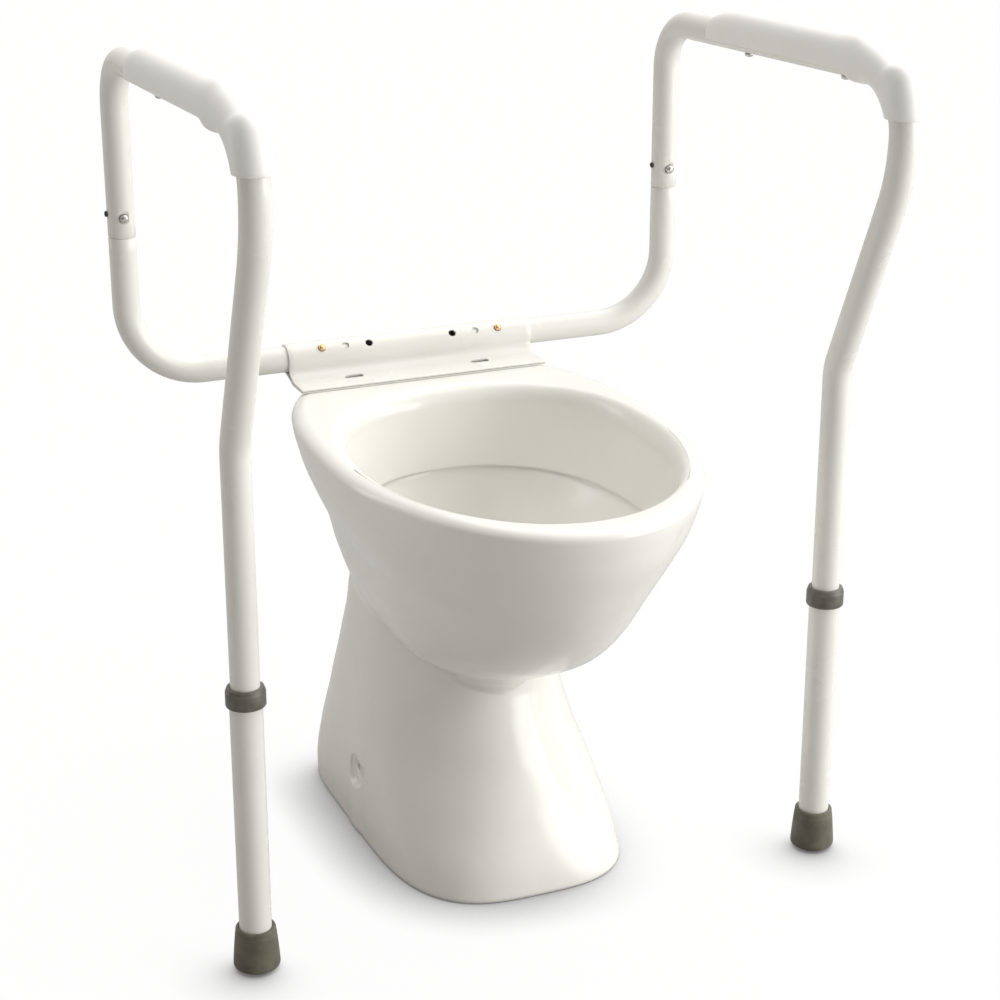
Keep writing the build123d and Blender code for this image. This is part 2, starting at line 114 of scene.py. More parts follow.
def skin(name, rings, close_first=False, close_last=False, folded=False, crease=None):
    """Quad mesh through rings of equal length, smooth shaded, in metres.

    A folded ring runs out along one face of a sheet and back along the other, and its ends are
    closed with quads across the thickness.
    """
    mesh = bpy.data.meshes.new(name)
    count = len(rings[0])
    verts = [tuple(p * MM) for ring in rings for p in np.asarray(ring)]
    faces = []
    for r in range(len(rings) - 1):
        for k in range(count):
            n = (k + 1) % count
            faces.append((r * count + k, r * count + n, (r + 1) * count + n, (r + 1) * count + k))
    if close_first:
        faces.append(tuple(reversed(range(count))))
    if close_last:
        faces.append(tuple((len(rings) - 1) * count + k for k in range(count)))
    if folded:
        for k in range(count // 2 - 1):
            rim = (k, k + 1, count - 2 - k, count - 1 - k)
            faces.append(rim)
            faces.append(tuple((len(rings) - 1) * count + v for v in reversed(rim)))
    mesh.from_pydata(verts, [], faces)
    mesh.update()
    work = bmesh.new()
    work.from_mesh(mesh)
    bmesh.ops.recalc_face_normals(work, faces=work.faces)
    work.to_mesh(mesh)
    work.free()
    mesh.shade_smooth()
    if crease:
        mesh.set_sharp_from_angle(angle=radians(crease))
    piece = bpy.data.objects.new(name, mesh)
    scene.collection.objects.link(piece)
    return piece


BOWL_ROWS = (
    # height, half width, front, rear, squareness of the rear half
    (404.0, 163.0, -243.0, 243.0, 2.67), (396.0, 161.9, -241.9, 242.0, 2.67),
    (385.0, 159.0, -239.3, 240.0, 2.67), (370.0, 154.5, -235.0, 236.0, 2.7),
    (340.0, 141.0, -220.0, 224.0, 2.9), (305.0, 121.5, -199.0, 217.0, 3.6),
    (270.0, 109.5, -172.0, 214.0, 4.0), (240.0, 99.0, -139.0, 206.0, 4.0),
    (216.0, 87.0, -97.0, 195.0, 4.0), (200.0, 66.0, -66.0, 168.0, 3.4),
    (186.0, 50.0, -38.0, 130.0, 2.8), (172.0, 30.0, -14.0, 100.0, 2.2),
    (162.0, 8.0, 12.0, 90.0, 2.2),
)
PEDESTAL_ROWS = (
    # height, half width, front, rear, widest at y, squareness of the front and rear halves
    (0.0, 116.0, -104.0, 238.0, 65.0, 3.2, 7.0), (20.0, 116.0, -99.0, 238.0, 67.0, 2.8, 7.0),
    (60.0, 112.0, -76.0, 237.0, 80.0, 2.3, 6.0), (110.0, 102.0, -40.0, 233.0, 100.0, 2.0, 5.0),
    (160.0, 92.0, -13.0, 223.0, 110.0, 2.0, 5.0), (200.0, 88.0, -8.0, 207.0, 115.0, 2.0, 5.0),
    (236.0, 87.0, -30.0, 197.0, 110.0, 2.0, 4.5), (252.0, 70.0, -14.0, 175.0, 100.0, 2.0, 4.0),
    (262.0, 20.0, 40.0, 110.0, 75.0, 2.0, 3.0),
)
BOWL_FOOT_Z, BOWL_TUCK_Z, BOWL_TOP_Z = 162.0, 200.0, 404.0
NECK_LOW_Z, NECK_HIGH_Z = 150.0, 262.0
NECK_CREASE, NECK_FILLET = 8.0, 22.0
RIM_HALF, RIM_FRONT, RIM_REAR, RIM_MIDDLE = 163.0, -243.0, 243.0, -1.5
RIM_SQUARE = 2.67
PEDESTAL_Y, MOUTH_Y = 75.0, -22.0
WALL = 14.0
DECK_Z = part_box("pan_rim")[1][2] / MM
RIM_ROLL, RIM_ROLL_DEEP = 13.0, 9.5
TRAP_Y, TRAP_R, TRAP_WALL, TRAP_TOP_Z, TRAP_BEND = 184.0, 28.0, 8.0, 175.0, 40.0
TRAP_CROWN_Z = 250.0


def bowl_reach(z, centre):
    """Outline of the bowl; its widest place moves back as it tucks in."""
    half, front, rear, square = smooth_rows(BOWL_ROWS, z)
    middle = RIM_MIDDLE + 0.11 * (BOWL_TOP_Z - z) + max(0.0, BOWL_TUCK_Z - z) * 0.8
    return egg_reach(half, front, rear, middle, 2.0, square, centre)


def pedestal_reach(z, centre, inset=0.0):
    """Outline of the pedestal, drawn in by an inset."""
    half, front, rear, middle, n_front, n_rear = smooth_rows(PEDESTAL_ROWS, z)
    return egg_reach(half - inset, front + inset, rear - inset, middle, n_front, n_rear, centre)


def trap_reach(z, centre):
    """The trapway stands out of the back of the pedestal as a half-round rib."""
    lean = min(max((z - TRAP_TOP_Z) / (TRAP_BEND + TRAP_R + TRAP_WALL), 0.0), 0.999)
    y = TRAP_Y - TRAP_BEND + TRAP_BEND * sqrt(1 - lean**2)
    radius = (TRAP_R + TRAP_WALL) * (1 - 0.2 * lean)
    ahead = (y - centre) * np.sin(PHI)
    aside = (y - centre) * np.cos(PHI)
    under = radius**2 - aside**2
    return np.where((under > 0) & (np.sin(PHI) > 0), ahead + np.sqrt(np.maximum(under, 0.0)), 0.0)


def outer_ring(z):
    """Outside of the casting: the bowl, the pedestal and the trapway run into one another."""
    centre = PEDESTAL_Y * (1.0 - min(max((z - BOWL_TUCK_Z) / 120.0, 0.0), 1.0))
    if z < NECK_HIGH_Z:
        parts = pedestal_reach(z, centre)
    if z > NECK_LOW_Z:
        # the neck is a crease at the sides and a wide fillet at the front
        ahead = np.clip((-np.sin(PHI) - 0.80) / 0.17, 0.0, 1.0)
        bowl = bowl_reach(z, centre) - max(BOWL_FOOT_Z - z, 0.0) * 4.0
        parts = soft_larger(parts, bowl, NECK_CREASE + NECK_FILLET * ahead) if z < NECK_HIGH_Z else bowl
    if z < TRAP_CROWN_Z:
        parts = soft_larger(parts, trap_reach(z, centre), 14.0)
    return ring_points(parts, centre, z)


def rim_ring(inset, z):
    """Outline of the rim and deck, drawn in by an inset."""
    reach = egg_reach(RIM_HALF - inset, RIM_FRONT + inset, RIM_REAR - inset, RIM_MIDDLE,
                      2.0, RIM_SQUARE, 0.0)
    return ring_points(reach, 0.0, z)


def inner_ring(half, front, rear, middle, n_rear, z):
    """Egg-shaped ring inside the bowl."""
    return ring_points(egg_reach(half, front, rear, middle, 2.0, n_rear, MOUTH_Y), MOUTH_Y, z)


# up inside is the hollow of the foot, then round its bearing edge and up the outside
pan_rings = [ring_points(pedestal_reach(z, PEDESTAL_Y, WALL), PEDESTAL_Y, z)
             for z in (125.0, 110.0, 85.0, 60.0, 40.0, 20.0, 3.0)]
pan_rings += [ring_points(pedestal_reach(0.0, PEDESTAL_Y, inset), PEDESTAL_Y, z)
              for inset, z in ((12.0, 0.0), (3.5, 0.0), (1.0, 1.0))]
pan_rings += [outer_ring(3.5)]
pan_rings += [outer_ring(z) for z in np.arange(7.0, NECK_LOW_Z, 4.0)]
pan_rings += [outer_ring(z) for z in np.arange(NECK_LOW_Z + 1.0, NECK_HIGH_Z, 0.75)]
pan_rings += [outer_ring(z) for z in np.arange(NECK_HIGH_Z + 2.0, BOWL_TOP_Z - 1.0, 3.0)]
pan_rings += [rim_ring(RIM_ROLL * (1 - cos(a)), DECK_Z - RIM_ROLL_DEEP * (1 - sin(a)))
              for a in np.linspace(0.05, pi / 2, 12)]
# the wall of the bowl starts under the roll and leans in to a small overhanging lip
WALL_TOP = (137.0, -209.5, 139.0, -27.5)
MOUTH_SQUARE, LIP_SQUARE = 2.35, 2.3
ROLL_SIDE, ROLL_FRONT, ROLL_REAR, ROLL_DEEP = 11.0, 10.0, 17.0, 21.0


def opening_ring(share, z):
    """The mouth of the bowl, let out by a share of the roll that leads into it."""
    half, front, rear, middle = WALL_TOP
    return inner_ring(half + ROLL_SIDE * share, front - ROLL_FRONT * share,
                      rear + ROLL_REAR * share, middle, MOUTH_SQUARE, z)


top_outer = rim_ring(RIM_ROLL, DECK_Z)
top_inner = opening_ring(1.0, DECK_Z)
for share in (0.25, 0.5, 0.75):
    pan_rings.append(top_outer + (top_inner - top_outer) * share)
for a in np.linspace(0.0, pi / 2, 14):
    pan_rings.append(opening_ring(1 - sin(a), DECK_Z - ROLL_DEEP * (1 - cos(a))))
LIP_Z = 335.0
for t in np.linspace(0.08, 1.0, 12):
    z = (DECK_Z - ROLL_DEEP) * (1 - t) + (LIP_Z + 3.0) * t
    half, front, rear, middle = (a + b * t for a, b in zip(WALL_TOP, (-13.0, 6.5, -5.0, -7.5)))
    pan_rings.append(inner_ring(half, front, rear, middle, MOUTH_SQUARE, z))
for half, front, rear, lift in ((124.2, -203.2, 134.2, 1.0), (125.2, -204.0, 135.2, 0.0),
                                (126.6, -205.6, 138.5, 0.3), (126.3, -204.7, 139.5, -1.6)):
    pan_rings.append(inner_ring(half, front, rear, -35.0, LIP_SQUARE, LIP_Z + lift))
BASIN_ROWS = (
    # height, half width, front, rear, middle
    (333.0, 125.5, -203.0, 139.0, -35.0), (304.0, 103.0, -180.0, 131.0, -30.0),
    (268.0, 84.0, -148.0, 116.0, -18.0), (228.0, 62.0, -96.0, 98.0, 0.0),
    (204.0, 50.0, -42.0, 94.0, 24.0), (184.0, 42.0, 8.0, 92.0, 48.0),
    (150.0, 32.0, 22.0, 84.0, 52.0),
)
SUMP_Y, SUMP_Z = 52.0, 150.0
for z in np.concatenate((np.arange(332.0, 190.0, -4.0), np.arange(188.0, SUMP_Z - 1.0, -4.0))):
    half, front, rear, middle = smooth_rows(BASIN_ROWS, z)
    share = min(max((z - SUMP_Z) / 120.0, 0.0), 1.0)
    centre = SUMP_Y + (MOUTH_Y - SUMP_Y) * share
    pan_rings.append(ring_points(egg_reach(half, front, rear, middle, 2.0, 2.2, centre), centre, z))
pan_rings.append(ring_points(np.full(AROUND, 20.0), SUMP_Y, SUMP_Z - 1.0))
pan_rings.append(ring_points(np.full(AROUND, 6.0), SUMP_Y, SUMP_Z - 1.2))
# the rim dips a little towards the front of the pan
RIM_DIP, DIP_FROM_Y, DIP_FROM_Z = 7.0, 70.0, 335.0
for ring in pan_rings:
    ahead = np.clip((DIP_FROM_Y - ring[:, 1]) / (DIP_FROM_Y - RIM_FRONT), 0.0, 1.0)
    height = np.clip((ring[:, 2] - DIP_FROM_Z) / (DECK_Z - DIP_FROM_Z), 0.0, 1.0)
    ring[:, 2] -= RIM_DIP * ahead**1.2 * height
pan = skin("pan_casting", pan_rings, close_first=True, close_last=True)


def bend_line(points, radii, arc_steps=14):
    """Points along straight runs joined by round bends; returns the list of points."""
    knots = [np.array(p, float) for p in points]
    line = [knots[0]]
    for i, radius in enumerate(radii, start=1):
        into = (knots[i] - knots[i - 1]) / np.linalg.norm(knots[i] - knots[i - 1])
        out = (knots[i + 1] - knots[i]) / np.linalg.norm(knots[i + 1] - knots[i])
        turn = acos(float(np.clip(into @ out, -1, 1)))
        side = (out - into) / np.linalg.norm(out - into)
        hub = knots[i] + side * radius / cos(turn / 2)
        first = knots[i] - into * radius * tan(turn / 2)
        start = (first - hub) / radius
        for a in np.linspace(0.0, turn, max(4, int(arc_steps * turn / (pi / 2)) + 3)):
            line.append(hub + radius * (start * cos(a) + into * sin(a)))
    line.append(knots[-1])
    return line


def tube_rings(line, radius, steps=40, across=(1, 0, 0)):
    """Rings of a round tube whose line stays in one plane square to the given direction."""
    rings = []
    side = np.array(across, float)
    for i, p in enumerate(line):
        a = line[max(i - 1, 0)]
        b = line[min(i + 1, len(line) - 1)]
        ahead = (b - a) / np.linalg.norm(b - a)
        lift = np.cross(ahead, side)
        r = radius[i] if np.ndim(radius) else radius
        t = np.linspace(0.0, 2.0 * pi, steps, endpoint=False)
        rings.append(p + r * (np.outer(np.cos(t), side) + np.outer(np.sin(t), lift)))
    return rings


def subtract(piece, cutters):
    """Cuts closed pieces out of a casting and drops them."""
    for cutter in cutters:
        cut = piece.modifiers.new("cut", "BOOLEAN")
        cut.operation = "DIFFERENCE"
        cut.solver = "EXACT"
        cut.object = cutter
    settle(piece)
    for cutter in cutters:
        bpy.data.objects.remove(cutter)


def settle(piece):
    """Turns a piece's modifiers into plain mesh."""
    graph = bpy.context.evaluated_depsgraph_get()
    mesh = bpy.data.meshes.new_from_object(piece.evaluated_get(graph))
    piece.modifiers.clear()
    old = piece.data
    piece.data = mesh
    bpy.data.meshes.remove(old)


def turned(name, outline, origin, axis, steps=64, closed=False, crease=None):
    """Lathe piece: outline is (radius, distance along the axis) in millimetres from origin."""
    forward = Vector(axis).normalized()
    turn = forward.to_track_quat("Z", "Y").to_matrix()
    rings = []
    for radius, along in outline:
        t = np.linspace(0.0, 2.0 * pi, steps, endpoint=False)
        reach = max(radius, 0.01)
        local = np.column_stack((reach * np.cos(t), reach * np.sin(t), np.full(steps, along)))
        rings.append(local @ np.array(turn).T + np.array(origin, float))
    if closed:
        rings.append(rings[0])
    return skin(name, rings, close_first=not closed, close_last=not closed, crease=crease)


# the waterway leaves the sump, climbs back over the trapway and drops to the floor
trap_line = bend_line(((0, 58.0, 166.0), (0, TRAP_Y, TRAP_CROWN_Z), (0, TRAP_Y, -2.0)), (TRAP_BEND,))
INLET_Z, INLET_R, BOSS_R = 352.0, 22.5, 31.0
cutters = [skin("trap_bore", tube_rings(trap_line, TRAP_R), close_first=True, close_last=True),
           turned("inlet_bore", ((INLET_R, 161.0), (INLET_R, 250.0)), (0, 0, INLET_Z), (0, 1, 0))]
SEAT_HOLE_X, SEAT_HOLE_Y, SEAT_HOLE_R = 65.0, 201.0, 7.5
FLOOR_HOLE_Y, FLOOR_HOLE_Z, FLOOR_HOLE_R = 84.0, 64.0, 3.5
PAD_X, PAD_R = 110.0, 15.0
for side in (-1, 1):
    cutters.append(turned("seat_hole", (
        (SEAT_HOLE_R, 290.0), (SEAT_HOLE_R, DECK_Z - 1.5), (SEAT_HOLE_R + 1.5, DECK_Z + 2)),
        (side * SEAT_HOLE_X, SEAT_HOLE_Y, 0), (0, 0, 1)))
    cutters.append(turned("screw_pad", (
        (FLOOR_HOLE_R, 80.0), (FLOOR_HOLE_R, PAD_X - 0.8), (FLOOR_HOLE_R + 0.8, PAD_X - 0.1), (PAD_R, PAD_X),
        (PAD_R + 2.0, PAD_X + 0.6), (PAD_R + 5.5, PAD_X + 6.0)), (0, FLOOR_HOLE_Y, FLOOR_HOLE_Z), (side, 0, 0)))
subtract(pan, cutters)

pan_inlet = turned("pan_inlet_boss", (
    (BOSS_R + 16, 205.0), (BOSS_R + 8, 219.0), (BOSS_R + 2, 225.0), (BOSS_R, 230.0), (BOSS_R, 236.0),
    (BOSS_R - 1.5, 238.0), (INLET_R + 1.5, 238.0), (INLET_R, 236.5), (INLET_R, 160.0)),
    (0, 0, INLET_Z), (0, 1, 0))
pipe_line = trap_line[:-1] + [np.array((0, TRAP_Y, 0.0))]
trap_pipe = skin("pan_trap_pipe",
                 tube_rings(pipe_line, TRAP_R + TRAP_WALL) + tube_rings(pipe_line[::-1], TRAP_R))


def shader(name):
    """New node material; returns the material, its surface shader and a node maker."""
    material = bpy.data.materials.new(name)
    material.use_nodes = True
    tree = material.node_tree
    surface = tree.nodes["Principled BSDF"]

    def node(kind, **inputs):
        made = tree.nodes.new(kind)
        for key, value in inputs.items():
            made.inputs[key.replace("_", " ")].default_value = value
        return made

    return material, surface, node, tree.links.new


def object_noise(node, link, scale, detail=3.0, roughness=0.5, stretch=None):
    """Noise tied to the object's own coordinates, in metres."""
    place = node("ShaderNodeTexCoord")
    noise = node("ShaderNodeTexNoise", Scale=scale, Detail=detail, Roughness=roughness)
    if stretch:
        mapping = node("ShaderNodeMapping")
        mapping.inputs["Scale"].default_value = stretch
        link(place.outputs["Object"], mapping.inputs["Vector"])
        link(mapping.outputs["Vector"], noise.inputs["Vector"])
    else:
        link(place.outputs["Object"], noise.inputs["Vector"])
    return noise


def tinted(node, link, factor, low, high, start=0.35, end=0.65):
    """Colour ramp between two colours, driven by a noise."""
    ramp = node("ShaderNodeValToRGB")
    ramp.color_ramp.elements[0].position = start
    ramp.color_ramp.elements[1].position = end
    ramp.color_ramp.elements[0].color = (*low, 1)
    ramp.color_ramp.elements[1].color = (*high, 1)
    link(factor, ramp.inputs["Fac"])
    return ramp.outputs["Color"]


def ranged(node, link, value, low, high, start=0.3, end=0.7):
    """Spreads a noise value over a range."""
    spread = node("ShaderNodeMapRange")
    spread.inputs["From Min"].default_value = start
    spread.inputs["From Max"].default_value = end
    spread.inputs["To Min"].default_value = low
    spread.inputs["To Max"].default_value = high
    link(value, spread.inputs["Value"])
    return spread.outputs["Result"]


def paint(node, link, surface, noise, low, high):
    """Base colour that drifts between two tints."""
    link(tinted(node, link, noise.outputs["Fac"], low, high), surface.inputs["Base Color"])


def polish(node, link, surface, noise, low, high):
    """Roughness that drifts between two values."""
    link(ranged(node, link, noise.outputs["Fac"], low, high), surface.inputs["Roughness"])


def bumped(node, link, surface, noise, distance, strength=1.0, under=None):
    """Fine relief in the surface, over another relief if one is given."""
    bump = node("ShaderNodeBump", Strength=strength, Distance=distance)
    link(noise.outputs["Fac"], bump.inputs["Height"])
    if under:
        link(under, bump.inputs["Normal"])
    link(bump.outputs["Normal"], surface.inputs["Normal"])
    return bump.outputs["Normal"]


glaze, surface, node, link = shader("china_glaze")
surface.inputs["IOR"].default_value = 1.5
surface.inputs["Coat Weight"].default_value = 0.10
surface.inputs["Coat Roughness"].default_value = 0.09
cloud = object_noise(node, link, 9.0, 4.0)
paint(node, link, surface, cloud, (0.835, 0.826, 0.790), (0.855, 0.847, 0.812))
polish(node, link, surface, object_noise(node, link, 6.0, 5.0), 0.15, 0.24)
ripple = object_noise(node, link, 55.0, 1.0)
fine = object_noise(node, link, 700.0, 2.0)
rolled = bumped(node, link, surface, ripple, 0.0006, 0.35)
bumped(node, link, surface, fine, 0.00005, 0.25, under=rolled)
for piece in (pan, pan_inlet, trap_pipe):
    piece.data.materials.clear()
    piece.data.materials.append(glaze)
    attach(piece, "pan")
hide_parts("pan_rim", "pan_bowl", "pan_neck", "pan_base")

# ---- the tubes --------------------------------------------------------------------------------
# Drawn steel tube, bent cold and powder coated white.  Each side has a cross rail half that turns
# up into the rear upright, and an arm tube that slips over its swaged end, runs forward as the
# armrest and comes down in front as the leg.
def axis_of(name, k):
    low_corner, high_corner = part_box(name)
    return (low_corner[k] + high_corner[k]) / 2 / MM


ARM_X = axis_of("right_arm_tube", 0)
REAR_Y = axis_of("right_back_rail", 1)
LEG_Y = axis_of("right_leg_tube", 1)
TUBE_R = (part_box("right_arm_tube")[1][0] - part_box("right_arm_tube")[0][0]) / 2 / MM
RAIL_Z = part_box("right_back_rail")[0][2] / MM + TUBE_R
RAIL_END_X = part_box("right_back_rail")[0][0] / MM
NOSE_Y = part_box("right_arm_tube")[0][1] / MM + TUBE_R
INNER_LEG_END_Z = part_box("right_arm_tube")[0][2] / MM
SPIGOT_TOP_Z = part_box("right_back_rail")[1][2] / MM
SPIGOT_LENGTH = 60.0
JOINT_Z = SPIGOT_TOP_Z - SPIGOT_LENGTH
BORE_R = TUBE_R - 1.5
KINK_Z, BELLY_Z = 474.0, 661.0
ARM_REAR_Z, ARM_FRONT_Z = 729.7, 743.7
ARM_BENDS = (47.0, 50.0, 146.0, 45.0)


def arm_route(x, low_z):
    """Corners of the arm tube, from the joint behind to the end inside the leg."""
    return ((x, REAR_Y, JOINT_Z + 0.3), (x, REAR_Y, ARM_REAR_Z), (x, NOSE_Y, ARM_FRONT_Z),
            (x, NOSE_Y, BELLY_Z), (x, LEG_Y, KINK_Z), (x, LEG_Y, low_z))


def open_tube(name, line, radius, bore, across, start_round=0.5, end_round=0.5):
    """Tube with its wall, softly broken at both ends."""
    line = [np.array(p, float) for p in line]
    first = (line[1] - line[0]) / np.linalg.norm(line[1] - line[0])
    last = (line[-1] - line[-2]) / np.linalg.norm(line[-1] - line[-2])
    run = [line[0], line[0] + first * start_round] + line[1:-1] + [line[-1] - last * end_round, line[-1]]
    outside = [radius - start_round] + [radius] * (len(run) - 2) + [radius - end_round]
    rings = tube_rings(run, outside, 48, across)
    rings += tube_rings(run, bore, 48, across)[::-1]
    # the two surfaces join through the end rings, and the loop closes on itself
    rings.append(rings[0])
    return skin(name, rings)


def dense(line, step=12.0):
    """Adds points on the straight runs so that the finish has even faces."""
    fine_line = [line[0]]
    for a, b in zip(line, line[1:]):
        n = max(1, int(np.linalg.norm(b - a) / step))
        fine_line += [a + (b - a) * (k + 1) / n for k in range(n)]
    return fine_line


coat, surface, node, link = shader("white_powder_coat")
surface.inputs["IOR"].default_value = 1.5
cloud = object_noise(node, link, 14.0, 4.0)
paint(node, link, surface, cloud, (0.790, 0.785, 0.745), (0.815, 0.810, 0.775))
peel = object_noise(node, link, 420.0, 2.0)
bumped(node, link, surface, peel, 0.00005, 0.35)
polish(node, link, surface, object_noise(node, link, 24.0, 3.0), 0.20, 0.29)

WIDTH_BUTTON_X, WIDTH_HOLE_R = 91.0, 3.6
UPRIGHT_BUTTON_Z, UPRIGHT_HOLE_R = 586.0, 4.3
LEG_BUTTON_Z, LEG_HOLE_R = 150.0, 3.6
SPIGOT_BORE_R = BORE_R - 0.88
SLEEVE_AIM = Vector((0, -sin(radians(45)), cos(radians(45))))
RAIL_BEND, ARC_STEPS = 70.0, 28


def hole(radius, place, aim):
    """Cutter for a hole through one wall of a tube."""
    return turned("hole", ((radius, 4.0), (radius, 20.0)), place, aim, 32)


for side, word in ((-1, "left"), (1, "right")):
    x = side * ARM_X
    rail_route = ((side * RAIL_END_X, REAR_Y, RAIL_Z), (x, REAR_Y, RAIL_Z), (x, REAR_Y, JOINT_Z))
    rail_line = dense(bend_line(rail_route, (RAIL_BEND,), ARC_STEPS))
    rail = open_tube(word + "_cross_rail", rail_line, TUBE_R, BORE_R, (0, 1, 0), 0.5, 0.9)
    spigot = turned(word + "_swaged_spigot", (
        (TUBE_R - 0.9, JOINT_Z - 0.2), (BORE_R - 0.05, JOINT_Z + 0.8), (BORE_R - 0.05, SPIGOT_TOP_Z - 1.0),
        (BORE_R - 0.6, SPIGOT_TOP_Z), (SPIGOT_BORE_R, SPIGOT_TOP_Z), (SPIGOT_BORE_R, JOINT_Z - 2.0),
        (TUBE_R - 2.2, JOINT_Z - 2.0)), (x, REAR_Y, 0), (0, 0, 1), closed=True)
    button_place = (x, REAR_Y, UPRIGHT_BUTTON_Z)
    subtract(rail, [hole(WIDTH_HOLE_R, (side * WIDTH_BUTTON_X, REAR_Y, RAIL_Z), SLEEVE_AIM)])
    subtract(spigot, [hole(UPRIGHT_HOLE_R, button_place, (0, -1, 0))])
    arm_line = dense(bend_line(arm_route(x, INNER_LEG_END_Z), ARM_BENDS, ARC_STEPS))
    arm = open_tube(word + "_arm_and_leg", arm_line, TUBE_R, BORE_R, (1, 0, 0), 0.7, 0.5)
    subtract(arm, [hole(UPRIGHT_HOLE_R, button_place, (0, -1, 0)),
                   hole(LEG_HOLE_R, (x, LEG_Y, LEG_BUTTON_Z), (0, 1, 0))])
    for piece, body, covers in ((rail, "_rail", "_back_rail"), (spigot, "_rail", None),
                                (arm, "_arm", "_arm_tube")):
        piece.data.materials.clear()
        piece.data.materials.append(coat)
        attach(piece, word + body)
        if covers:
            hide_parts(word + covers)

# ---- the mounting bracket ---------------------------------------------------------------------
# One strip of steel sheet rolled round the cross rail.  Its two tails fold together into a flat
# plate that sits on the deck of the pan under the seat bolts, and it is coated like the tubes.
BRACKET_LOW, BRACKET_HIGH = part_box("mounting_bracket")
BRACKET_HALF = BRACKET_HIGH[0] / MM
PLATE_FRONT_Y = BRACKET_LOW[1] / MM
SHEET = 1.8
ROLL_R = TUBE_R + 0.08 + SHEET / 2
SLOT_X, SLOT_Y, SLOT_LENGTH, SLOT_WIDTH = 65.0, 201.0, 19.0, 6.4
PLATE_Z = DECK_Z + SHEET


def eased(a, b, out_a, into_b, steps):
    """Smooth curve from a to b that leaves along out_a and arrives along into_b."""
    a, b, out_a, into_b = (np.array(v, float) for v in (a, b, out_a, into_b))
    points = []
    for t in np.linspace(0.0, 1.0, steps):
        points.append((2 * t**3 - 3 * t**2 + 1) * a + (t**3 - 2 * t**2 + t) * out_a
                      + (3 * t**2 - 2 * t**3) * b + (t**3 - t**2) * into_b)
    return points


roll_start, roll_end = radians(-90.0), radians(200.0)
roll = [np.array((REAR_Y + ROLL_R * cos(a), RAIL_Z + ROLL_R * sin(a)))
        for a in np.linspace(roll_start, roll_end, 66)]
lower_z, upper_z = PLATE_Z - SHEET / 2, PLATE_Z + SHEET / 2
tail = [np.array((y, lower_z)) for y in np.linspace(PLATE_FRONT_Y, 203.0, 12)]
tail += eased(tail[-1], roll[0], (16.0, 0.0), (24.0, 0.0), 12)[1:]
leave = np.array((-sin(roll_end), cos(roll_end)))
tongue = eased(roll[-1], (199.0, upper_z), leave * 24.0, (-19.0, -0.3), 16)[1:]
tongue += [np.array((y, upper_z)) for y in np.linspace(199.0, PLATE_FRONT_Y, 12)[1:]]
sheet_line = np.array(tail + roll[1:] + tongue)
ahead = np.gradient(sheet_line, axis=0)
ahead /= np.linalg.norm(ahead, axis=1)[:, None]
outward = np.column_stack((ahead[:, 1], -ahead[:, 0]))
half_sheet = np.full(len(sheet_line), SHEET / 2)
half_sheet[0] = half_sheet[-1] = SHEET / 2 - 0.3
bracket_rings = []
for x, trim in ((-BRACKET_HALF, 0.3), (-BRACKET_HALF + 0.12, 0.1), (-BRACKET_HALF + 0.35, 0.0)):
    bracket_rings.append((x, trim))
bracket_rings += [(x, 0.0) for x in np.linspace(-BRACKET_HALF + 6.0, BRACKET_HALF - 6.0, 39)]
bracket_rings += [(-x, trim) for x, trim in bracket_rings[2::-1]]
rings = []
for x, trim in bracket_rings:
    outer = sheet_line + outward * (half_sheet - trim)[:, None]
    inner = sheet_line - outward * (half_sheet - trim - 0.04)[:, None]
    section = np.vstack((outer, inner[::-1]))
    rings.append(np.column_stack((np.full(len(section), x), section)))
bracket = skin("mounting_bracket_sheet", rings, folded=True, crease=38.0)


def slot_cutter(x, y, length, width, low_z, high_z):
    """Upright cutter with a long rounded outline."""
    rings = []
    for z in (low_z, high_z):
        ring = []
        for a in np.linspace(-pi / 2, pi / 2, 13):
            ring.append((x + (length - width) / 2 + width / 2 * cos(a), y + width / 2 * sin(a), z))
        for a in np.linspace(pi / 2, 3 * pi / 2, 13):
            ring.append((x - (length - width) / 2 + width / 2 * cos(a), y + width / 2 * sin(a), z))
        rings.append(np.array(ring))
    return skin("slot", rings, close_first=True, close_last=True)


cutters = [slot_cutter(side * SLOT_X, SLOT_Y, SLOT_LENGTH, SLOT_WIDTH, DECK_Z - 4.0, DECK_Z + 9.0)
           for side in (-1, 1)]
SLEEVE_R = TUBE_R + SHEET
width_hole = ((WIDTH_HOLE_R, 8.0), (WIDTH_HOLE_R, SLEEVE_R - 0.25), (WIDTH_HOLE_R + 1.2, SLEEVE_R + 1.0))
for x in (43.0, 67.0, WIDTH_BUTTON_X):
    for side in (-1, 1):
        cutters.append(turned("hole", width_hole, (side * x, REAR_Y, RAIL_Z), SLEEVE_AIM, 36))
subtract(bracket, cutters)
bracket.data.set_sharp_from_angle(angle=radians(38.0))
bracket.data.materials.clear()
bracket.data.materials.append(coat)
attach(bracket, "pan")
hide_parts("mounting_bracket")

# ---- the arm grips ----------------------------------------------------------------------------
# Moulded white plastic.  A broad saddle, open underneath, is screwed down on each arm; past the
# front screw it closes round the tube and follows the bend down as a cuff.
ARM_TILT = atan((ARM_FRONT_Z - ARM_REAR_Z) / (REAR_Y - NOSE_Y))
GRIP_REAR_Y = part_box("right_arm_grip")[1][1] / MM
CUFF_END_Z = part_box("right_arm_grip")[0][2] / MM
FRONT_BEND = ARM_BENDS[1]
BEND_REACH = FRONT_BEND * tan((pi / 2 + ARM_TILT) / 2)
BEND_HUB = (NOSE_Y + FRONT_BEND, ARM_FRONT_Z - BEND_REACH)
STRAIGHT = (GRIP_REAR_Y - (NOSE_Y + BEND_REACH * cos(ARM_TILT))) / cos(ARM_TILT)
CUFF_TURN = acos((CUFF_END_Z - BEND_HUB[1]) / FRONT_BEND)
GRIP_LENGTH = STRAIGHT + FRONT_BEND * (CUFF_TURN + ARM_TILT)
